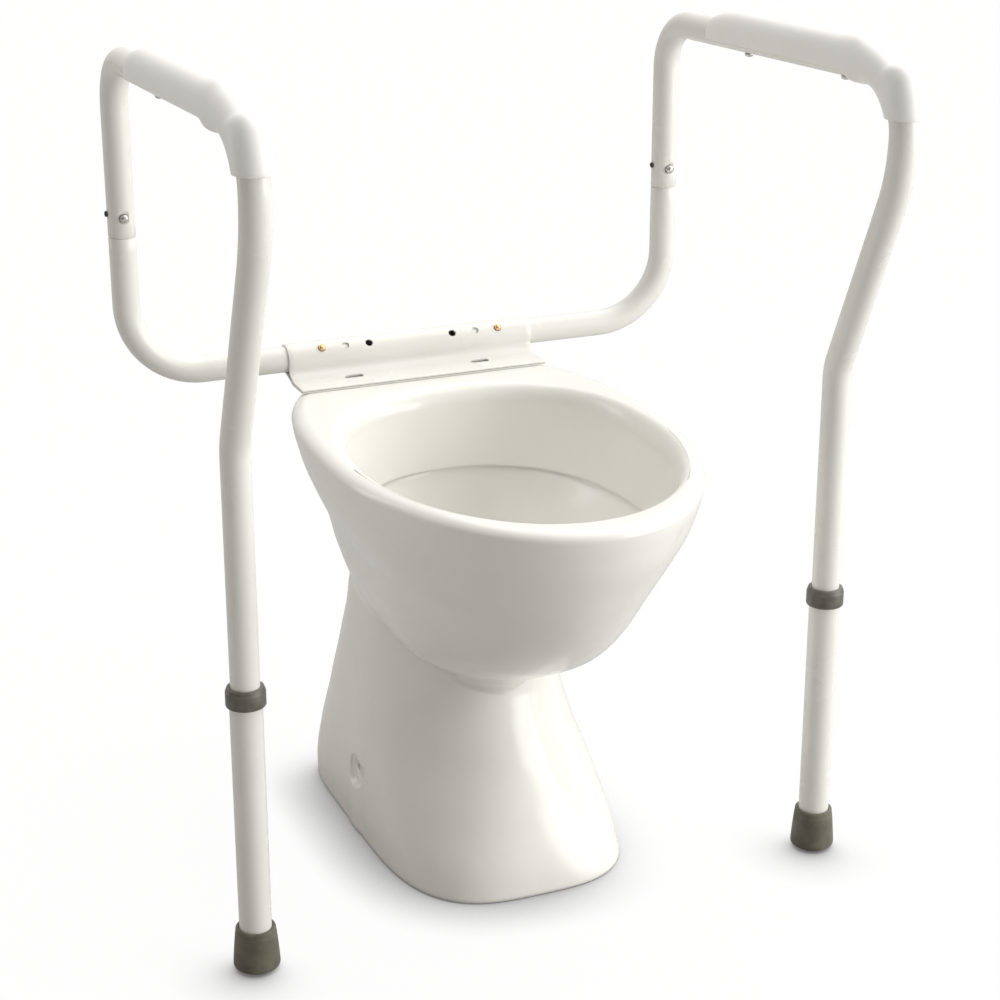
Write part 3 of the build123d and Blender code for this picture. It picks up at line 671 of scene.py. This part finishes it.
GRIP_ROWS = (
    # distance from the rear end, half width, height over the axis, depth under it, squareness
    (0.0, 14.2, 13.8, 16.0, 2.2), (1.2, 15.4, 14.9, 16.0, 2.3), (4.0, 16.8, 16.4, 16.0, 2.5),
    (11.0, 18.1, 18.6, 16.0, 2.7), (22.0, 18.8, 21.0, 16.0, 2.9), (34.0, 19.0, 22.7, 16.0, 3.0),
    (50.0, 19.0, 23.6, 16.0, 3.0), (228.0, 19.0, 23.2, 15.4, 3.0), (247.0, 19.0, 24.4, 14.6, 3.0),
    (255.0, 18.9, 24.4, 14.4, 2.9), (263.0, 18.6, 22.9, 14.4, 2.8), (271.0, 18.2, 20.2, 14.5, 2.7),
    (278.0, 17.9, 18.3, 14.6, 2.6), (286.0, 17.5, 16.9, 14.8, 2.5), (292.5, 17.2, 16.4, 15.0, 2.4),
    (296.5, 17.0, 17.6, 15.1, 2.3), (300.0, 16.9, 20.8, 15.2, 2.3), (304.5, 16.7, 23.4, 15.3, 2.2),
    (309.0, 16.6, 23.9, 15.4, 2.1), (316.0, 16.4, 21.8, 15.5, 2.1), (325.0, 16.2, 18.7, 15.6, 2.0),
    (GRIP_LENGTH, 16.0, 16.9, 15.6, 2.0),
)
EDGE_DROP = 4.0
CLOSE_FROM, CLOSE_TO = 243.0, 284.0


def grip_section(along, trim=0.0):
    """Ring of the grip at a distance from its rear end, as (across, up from the tube axis)."""
    half, over, under, square = smooth_rows(GRIP_ROWS, along)
    half, over, under = half - trim, over - trim, under - trim
    shut = min(max((along - CLOSE_FROM) / (CLOSE_TO - CLOSE_FROM), 0.0), 1.0)
    shut = shut**2 * (3 - 2 * shut)
    end = pi / 2 + atan((EDGE_DROP - trim) / half) * (1 - shut) + pi / 2 * shut
    bore = TUBE_R + 0.06 + trim
    bore_end = pi / 2 + atan((EDGE_DROP - trim) / 12.0) * (1 - shut) + pi / 2 * shut
    t = np.linspace(-1.0, 1.0, 57)
    angle = t * end
    s, c = np.sin(angle), np.cos(angle)
    power = np.where(c > 0, square, 4.0 - 2.0 * shut)
    height = np.where(c > 0, over, under)
    reach = ((np.abs(s) / half) ** power + (np.abs(c) / height) ** power) ** (-1 / power)
    outer = np.column_stack((reach * s, reach * c))
    angle = t[::-1] * bore_end
    inner = np.column_stack((bore * np.sin(angle), bore * np.cos(angle)))
    return np.vstack((outer, inner))


def grip_ring(x, along, trim=0.0):
    """The section set square to the tube, which is straight first and then bends down."""
    if along < STRAIGHT:
        lean = -ARM_TILT
        y = GRIP_REAR_Y - along * cos(ARM_TILT)
        spot = (y, arm_height(y))
    else:
        turn = (along - STRAIGHT) / FRONT_BEND - ARM_TILT
        lean = turn + (pi / 2 - CUFF_TURN) * min(max((turn - 0.7) / (CUFF_TURN - 0.7), 0.0), 1.0) ** 2
        spot = (BEND_HUB[0] - FRONT_BEND * sin(turn), BEND_HUB[1] + FRONT_BEND * cos(turn))
    section = grip_section(along, trim)
    up = section[:, 1]
    return np.column_stack((x + section[:, 0], spot[0] - up * sin(lean), spot[1] + up * cos(lean)))


def arm_height(y):
    """Height of the arm tube's axis on its straight run."""
    return ARM_REAR_Z + (REAR_Y - y) * tan(ARM_TILT)


grip_stops = [(0.0, 0.5), (0.15, 0.2), (0.5, 0.0), (1.2, 0.0), (2.4, 0.0)]
grip_stops += [(a, 0.0) for a in np.arange(4.0, 52.0, 2.4)]
grip_stops += [(a, 0.0) for a in np.arange(56.0, 226.0, 8.5)]
grip_stops += [(a, 0.0) for a in np.arange(227.0, GRIP_LENGTH - 1.0, 1.5)]
grip_stops += [(GRIP_LENGTH - 0.6, 0.0), (GRIP_LENGTH - 0.15, 0.3), (GRIP_LENGTH, 0.8)]

plastic, surface, node, link = shader("white_grip_plastic")
surface.inputs["IOR"].default_value = 1.46
surface.inputs["Subsurface Weight"].default_value = 0.06
surface.inputs["Subsurface Radius"].default_value = (0.004, 0.0035, 0.003)
cloud = object_noise(node, link, 11.0, 3.0)
paint(node, link, surface, cloud, (0.895, 0.893, 0.872), (0.915, 0.913, 0.893))
handled = object_noise(node, link, 30.0, 4.0)
polish(node, link, surface, handled, 0.36, 0.50)
sink = object_noise(node, link, 26.0, 1.0)
grain = object_noise(node, link, 1400.0, 3.0)
settled = bumped(node, link, surface, sink, 0.0007, 0.3)
bumped(node, link, surface, grain, 0.00006, 0.5, under=settled)
for side, word in ((-1, "left"), (1, "right")):
    rings = [grip_ring(side * ARM_X, along, trim) for along, trim in grip_stops]
    grip = skin(word + "_grip_saddle_and_cuff", rings, folded=True, crease=42.0)
    grip.data.materials.clear()
    grip.data.materials.append(plastic)
    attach(grip, word + "_arm")
    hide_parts(word + "_arm_grip")

# ---- the screws -------------------------------------------------------------------------------
# Zinc plated cross-recess screws come up through each arm tube into its grip, and one small
# blackened screw stands in the side of each upright above the joint.
def cross_cutter(origin, axis, reach, width, low, high):
    """Two crossed bars, for the recess in a screw head."""
    cutters = []
    forward = Vector(axis).normalized()
    turn = np.array(forward.to_track_quat("Z", "Y").to_matrix())
    for long_side, short_side in ((reach, width), (width, reach)):
        rings = []
        for along, grow in ((low, 0.55), (high, 1.0)):
            a, b = long_side / 2 * grow, short_side / 2 * grow
            local = np.array(((a, b, along), (-a, b, along), (-a, -b, along), (a, -b, along)))
            rings.append(local @ turn.T + np.array(origin, float))
        cutters.append(skin("recess", rings, close_first=True, close_last=True))
    return cutters


zinc, surface, node, link = shader("zinc_plated_steel")
surface.inputs["Metallic"].default_value = 1.0
cloud = object_noise(node, link, 600.0, 3.0)
paint(node, link, surface, cloud, (0.56, 0.555, 0.53), (0.70, 0.70, 0.68))
polish(node, link, surface, object_noise(node, link, 1500.0, 3.0), 0.16, 0.34)
bumped(node, link, surface, object_noise(node, link, 2200.0, 2.0), 0.00002, 0.5)
black_steel, surface, node, link = shader("blackened_steel")
surface.inputs["Metallic"].default_value = 0.9
cloud = object_noise(node, link, 900.0, 3.0)
paint(node, link, surface, cloud, (0.045, 0.043, 0.04), (0.11, 0.105, 0.10))
polish(node, link, surface, cloud, 0.32, 0.5)
bumped(node, link, surface, object_noise(node, link, 1800.0, 2.0), 0.00003, 0.6)
for side, word in ((-1, "left"), (1, "right")):
    for place in ("rear", "front"):
        covered = word + "_grip_screw_" + place
        y = axis_of(covered, 1)
        under = (side * ARM_X, y, arm_height(y) - TUBE_R)
        screw = turned(word + "_grip_screw_head_" + place, (
            (2.2, -6.0), (2.2, 0.02), (4.1, 0.05), (4.2, 0.35), (4.2, 1.0), (4.05, 1.7), (3.6, 2.4),
            (2.8, 2.95), (1.7, 3.3), (0.6, 3.4), (0.02, 3.4)),
            under, (0, 0, -1), 40)
        subtract(screw, cross_cutter(under, (0, 0, -1), 4.4, 1.0, 1.6, 4.0))
        screw.data.set_sharp_from_angle(angle=radians(40.0))
        screw.data.materials.clear()
        screw.data.materials.append(zinc)
        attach(screw, word + "_arm")
        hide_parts(covered)
    origin = (side * ARM_X, REAR_Y, axis_of(word + "_side_screw", 2))
    stub = turned(word + "_side_screw_head", (
        (1.9, 9.5), (1.9, TUBE_R), (2.6, TUBE_R + 0.05), (2.7, TUBE_R + 0.4), (2.7, TUBE_R + 1.2),
        (2.5, TUBE_R + 1.75), (2.0, TUBE_R + 2.12), (1.2, TUBE_R + 2.25), (0.02, TUBE_R + 2.25)),
        origin, (-1, 0, 0), 36)
    hexagon = turned("recess", ((0.85, TUBE_R + 1.1), (0.95, TUBE_R + 3.0)), origin, (-1, 0, 0), 6)
    subtract(stub, [hexagon])
    stub.data.set_sharp_from_angle(angle=radians(40.0))
    stub.data.materials.clear()
    stub.data.materials.append(black_steel)
    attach(stub, word + "_arm")
    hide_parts(word + "_side_screw")

# ---- the leg tubes ----------------------------------------------------------------------------
# A wider coated tube slides over the end of each arm tube; a column of holes down its rear face
# takes the snap button that sets the height.
LEG_LOW, LEG_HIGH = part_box("right_leg_tube")
LEG_R = (LEG_HIGH[0] - LEG_LOW[0]) / 2 / MM
LEG_BORE_R = TUBE_R + 0.06
LOWEST_HOLE_Z, HOLE_PITCH, LEG_HOLES = 100.0, 25.0, 6
leg_hole = ((LEG_HOLE_R, 8.0), (LEG_HOLE_R, LEG_R - 0.3), (LEG_HOLE_R + 1.0, LEG_R + 0.7))
for side, word in ((-1, "left"), (1, "right")):
    low_z, high_z = LEG_LOW[2] / MM, LEG_HIGH[2] / MM
    stations = [(LEG_R - 0.5, low_z), (LEG_R, low_z + 0.5)]
    stations += [(LEG_R, z) for z in np.linspace(low_z + 12.0, high_z - 12.0, 20)]
    stations += [(LEG_R, high_z - 0.5), (LEG_R - 0.5, high_z), (LEG_BORE_R + 0.1, high_z),
                 (LEG_BORE_R, high_z - 0.4)]
    stations += [(LEG_BORE_R, z) for z in np.linspace(high_z - 12.0, low_z + 12.0, 20)]
    stations += [(LEG_BORE_R, low_z + 0.4), (LEG_BORE_R + 0.2, low_z)]
    leg = turned(word + "_outer_leg", stations, (side * ARM_X, LEG_Y, 0), (0, 0, 1), 72, closed=True)
    hole_heights = [LOWEST_HOLE_Z + HOLE_PITCH * k for k in range(LEG_HOLES)]
    subtract(leg, [turned("hole", leg_hole, (side * ARM_X, LEG_Y, z), (0, 1, 0), 36) for z in hole_heights])
    leg.data.set_sharp_from_angle(angle=radians(35.0))
    leg.data.materials.clear()
    leg.data.materials.append(coat)
    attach(leg, word + "_leg")
    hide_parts(word + "_leg_tube")

# ---- the leg collars --------------------------------------------------------------------------
# A grey plastic bush is pressed over the top of each outer leg.  It guides the arm tube and hides
# the cut end; a narrower lip stands on top of its band.
collar_plastic, surface, node, link = shader("grey_collar_plastic")
surface.inputs["IOR"].default_value = 1.47
cloud = object_noise(node, link, 120.0, 3.0)
paint(node, link, surface, cloud, (0.105, 0.101, 0.082), (0.150, 0.145, 0.120))
polish(node, link, surface, cloud, 0.30, 0.44)
bumped(node, link, surface, object_noise(node, link, 1500.0, 3.0), 0.00007, 0.6)
COLLAR_LOW, COLLAR_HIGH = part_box("right_leg_collar")
COLLAR_R = (COLLAR_HIGH[0] - COLLAR_LOW[0]) / 2 / MM
for side, word in ((-1, "left"), (1, "right")):
    low_z, high_z = COLLAR_LOW[2] / MM, COLLAR_HIGH[2] / MM
    collar = turned(word + "_collar", (
        (LEG_R + 0.03, low_z), (COLLAR_R - 1.0, low_z), (COLLAR_R - 0.35, low_z + 0.25),
        (COLLAR_R, low_z + 0.9), (COLLAR_R, low_z + 6.0), (COLLAR_R, high_z - 4.6),
        (COLLAR_R - 0.2, high_z - 3.7), (COLLAR_R - 0.7, high_z - 3.2), (COLLAR_R - 0.95, high_z - 2.7),
        (COLLAR_R - 1.0, high_z - 1.6), (COLLAR_R - 1.4, high_z - 0.6), (COLLAR_R - 2.1, high_z - 0.1),
        (COLLAR_R - 2.8, high_z), (TUBE_R + 0.7, high_z), (TUBE_R + 0.3, high_z - 0.15),
        (TUBE_R + 0.1, high_z - 0.7), (TUBE_R + 0.1, high_z - 3.9), (LEG_R + 0.03, high_z - 3.95)),
        (side * ARM_X, LEG_Y, 0), (0, 0, 1), 72, closed=True, crease=50.0)
    collar.data.materials.clear()
    collar.data.materials.append(collar_plastic)
    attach(collar, word + "_leg")
    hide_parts(word + "_leg_collar")

# ---- the rubber feet --------------------------------------------------------------------------
# Moulded grey rubber ferrules, pushed on to the outer legs.  They flare towards the floor and
# stand on a smaller pad with ring grooves; a steel disc inside stops the tube cutting through.
rubber, surface, node, link = shader("grey_rubber")
surface.inputs["IOR"].default_value = 1.45
surface.inputs["Sheen Weight"].default_value = 0.12
surface.inputs["Sheen Roughness"].default_value = 0.5
cloud = object_noise(node, link, 70.0, 5.0)
paint(node, link, surface, cloud, (0.098, 0.094, 0.068), (0.140, 0.135, 0.100))
polish(node, link, surface, object_noise(node, link, 240.0, 4.0), 0.50, 0.68)
pores = object_noise(node, link, 900.0, 4.0)
bumped(node, link, surface, pores, 0.00012, 0.7)
FOOT_LOW, FOOT_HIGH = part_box("right_foot_tip")
FOOT_R = (FOOT_HIGH[0] - FOOT_LOW[0]) / 2 / MM
FOOT_TOP_Z = FOOT_HIGH[2] / MM
tread = [(0.02, 1.4), (3.6, 1.4), (4.0, 0.3), (4.4, 0.0), (8.4, 0.0), (8.8, 0.3), (9.1, 1.4), (10.8, 1.4),
         (11.1, 0.3), (11.5, 0.0), (14.9, 0.0), (15.35, 0.15), (15.5, 0.6), (15.6, 1.8), (15.9, 2.1),
         (17.8, 2.2), (18.8, 2.5), (19.7, 3.3), (20.15, 4.3), (FOOT_R, 5.5)]
wall = [(FOOT_R - 0.12 * k - 0.0032 * k**2, 5.5 + 2.0 * k) for k in range(1, 13)]
mouth = [(FOOT_R - 2.2, 31.5), (FOOT_R - 2.25, 33.6), (FOOT_R - 2.5, 34.5), (FOOT_R - 2.8, 35.1),
         (FOOT_R - 2.85, FOOT_TOP_Z - 2.0), (FOOT_R - 3.2, FOOT_TOP_Z - 0.8),
         (FOOT_R - 3.9, FOOT_TOP_Z - 0.15), (FOOT_R - 4.6, FOOT_TOP_Z), (LEG_R + 0.9, FOOT_TOP_Z - 0.1),
         (LEG_R + 0.35, FOOT_TOP_Z - 0.6), (LEG_R + 0.05, FOOT_TOP_Z - 1.6), (LEG_R + 0.05, 8.0), (0.02, 8.0)]
for side, word in ((-1, "left"), (1, "right")):
    foot = turned(word + "_rubber_foot", tread + wall + mouth, (side * ARM_X, LEG_Y, 0), (0, 0, 1), 72,
                  crease=60.0)
    foot.data.materials.clear()
    foot.data.materials.append(rubber)
    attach(foot, word + "_leg")
    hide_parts(word + "_foot_tip")

# ---- the snap buttons and foot discs ----------------------------------------------------------
# Folded spring strips with a domed button, inside the tubes: brass in the cross rail, bright
# steel in the uprights and legs.  The discs lie unseen in the rubber feet.
brass, surface, node, link = shader("brass")
surface.inputs["Metallic"].default_value = 1.0
cloud = object_noise(node, link, 700.0, 3.0)
paint(node, link, surface, cloud, (0.72, 0.45, 0.22), (0.86, 0.60, 0.34))
polish(node, link, surface, object_noise(node, link, 1300.0, 3.0), 0.18, 0.36)
bumped(node, link, surface, object_noise(node, link, 2400.0, 2.0), 0.00002, 0.5)
for side, word in ((-1, "left"), (1, "right")):
    for name, finish in (("_width_button", brass), ("_upright_button", zinc),
                         ("_leg_button", zinc), ("_foot_washer", zinc)):
        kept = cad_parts[word + name]
        for slot in kept.material_slots:
            slot.material = finish

# ---- floor and light --------------------------------------------------------------------------
# A pale studio floor that glows white to the camera, with a painted contact shadow close to
# whatever stands on it, a large soft window of light from the front right, a broad top light and
# a faint edge light from behind on the left.  The surroundings are dim on the front left, so that
# the white pieces keep their grey sides.
floor_material, surface, node, link = shader("pale_floor_painted_shadow")
surface.inputs["Base Color"].default_value = (0.42, 0.42, 0.41, 1)
surface.inputs["Roughness"].default_value = 0.9
near = node("ShaderNodeAmbientOcclusion", Distance=0.065)
near.samples = 12
# the occlusion looks up towards the light, so that the painted contact shadow falls on the side away from it
lean = node("ShaderNodeCombineXYZ", X=0.42, Y=0.45, Z=0.62)
link(lean.outputs["Vector"], near.inputs["Normal"])
# painted shadow: the floor's glow darkens where ambient occlusion finds a piece close by
painted_contact_shadow = tinted(node, link, near.outputs["AO"], (0.16, 0.155, 0.15), (1.05, 1.05, 1.05), 0.22, 0.94)
floor_glow_with_painted_shadow = node("ShaderNodeEmission")
link(painted_contact_shadow, floor_glow_with_painted_shadow.inputs["Color"])
# the camera sees mostly the glow with its painted shadow, other rays see the plain grey floor
seen = node("ShaderNodeLightPath")
share = ranged(node, link, seen.outputs["Is Camera Ray"], 0.0, 0.90, 0.0, 1.0)
either = node("ShaderNodeMixShader")
link(share, either.inputs["Fac"])
link(surface.outputs["BSDF"], either.inputs[1])
link(floor_glow_with_painted_shadow.outputs["Emission"], either.inputs[2])
link(either.outputs["Shader"], floor_material.node_tree.nodes["Material Output"].inputs["Surface"])
floor_mesh = bpy.data.meshes.new("floor")
FLOOR_HALF = 9.0
floor_corners = [(x * FLOOR_HALF, y * FLOOR_HALF, 0) for x, y in ((-1, -1), (1, -1), (1, 1), (-1, 1))]
floor_mesh.from_pydata(floor_corners, [], [(0, 1, 2, 3)])
floor_mesh.materials.append(floor_material)
floor = bpy.data.objects.new("floor", floor_mesh)
scene.collection.objects.link(floor)


def soft_light(name, place, aim, size, power, tint):
    """Rectangular panel of light turned to a point."""
    data = bpy.data.lights.new(name, "AREA")
    data.shape = "RECTANGLE"
    data.size, data.size_y = size
    data.energy = power
    data.color = tint
    lamp = bpy.data.objects.new(name, data)
    lamp.location = place
    lamp.rotation_euler = (Vector(aim) - Vector(place)).to_track_quat("-Z", "Y").to_euler()
    scene.collection.objects.link(lamp)


soft_light("window_light", (2.6, -1.9, 1.0), (0, 0, 0.35), (2.4, 2.6), 80.0, (1.0, 1.0, 0.98))
soft_light("edge_light", (-2.2, 1.7, 1.3), (0, 0, 0.4), (0.5, 2.2), 9.0, (1.0, 0.99, 0.96))
overhead = bpy.data.lights.new("overhead_light", "SUN")
overhead.energy = 1.75
overhead.angle = radians(70.0)
overhead_lamp = bpy.data.objects.new("overhead_light", overhead)
overhead_lamp.rotation_euler = Vector((-0.5, -0.25, -1.0)).to_track_quat("-Z", "Y").to_euler()
scene.collection.objects.link(overhead_lamp)
world = bpy.data.worlds.new("studio")
scene.world = world
world.use_nodes = True
tree, link = world.node_tree, world.node_tree.links.new
sky = tree.nodes["Background"]
sky.inputs["Color"].default_value = (1.0, 0.97, 0.92, 1)
toward = tree.nodes.new("ShaderNodeTexCoord")
facing = tree.nodes.new("ShaderNodeVectorMath")
facing.operation = "DOT_PRODUCT"
facing.inputs[1].default_value = (0.78, 0.50, 0.36)
link(toward.outputs["Generated"], facing.inputs[0])
spread = tree.nodes.new("ShaderNodeMapRange")
for name, value in (("From Min", -1.0), ("From Max", 0.6), ("To Min", 0.10), ("To Max", 0.86)):
    spread.inputs[name].default_value = value
link(facing.outputs["Value"], spread.inputs["Value"])
link(spread.outputs["Result"], sky.inputs["Strength"])
white = tree.nodes.new("ShaderNodeBackground")
white.inputs["Color"].default_value = (1, 1, 1, 1)
seen = tree.nodes.new("ShaderNodeLightPath")
either = tree.nodes.new("ShaderNodeMixShader")
link(seen.outputs["Is Camera Ray"], either.inputs["Fac"])
link(sky.outputs["Background"], either.inputs[1])
link(white.outputs["Background"], either.inputs[2])
link(either.outputs["Shader"], tree.nodes["World Output"].inputs["Surface"])
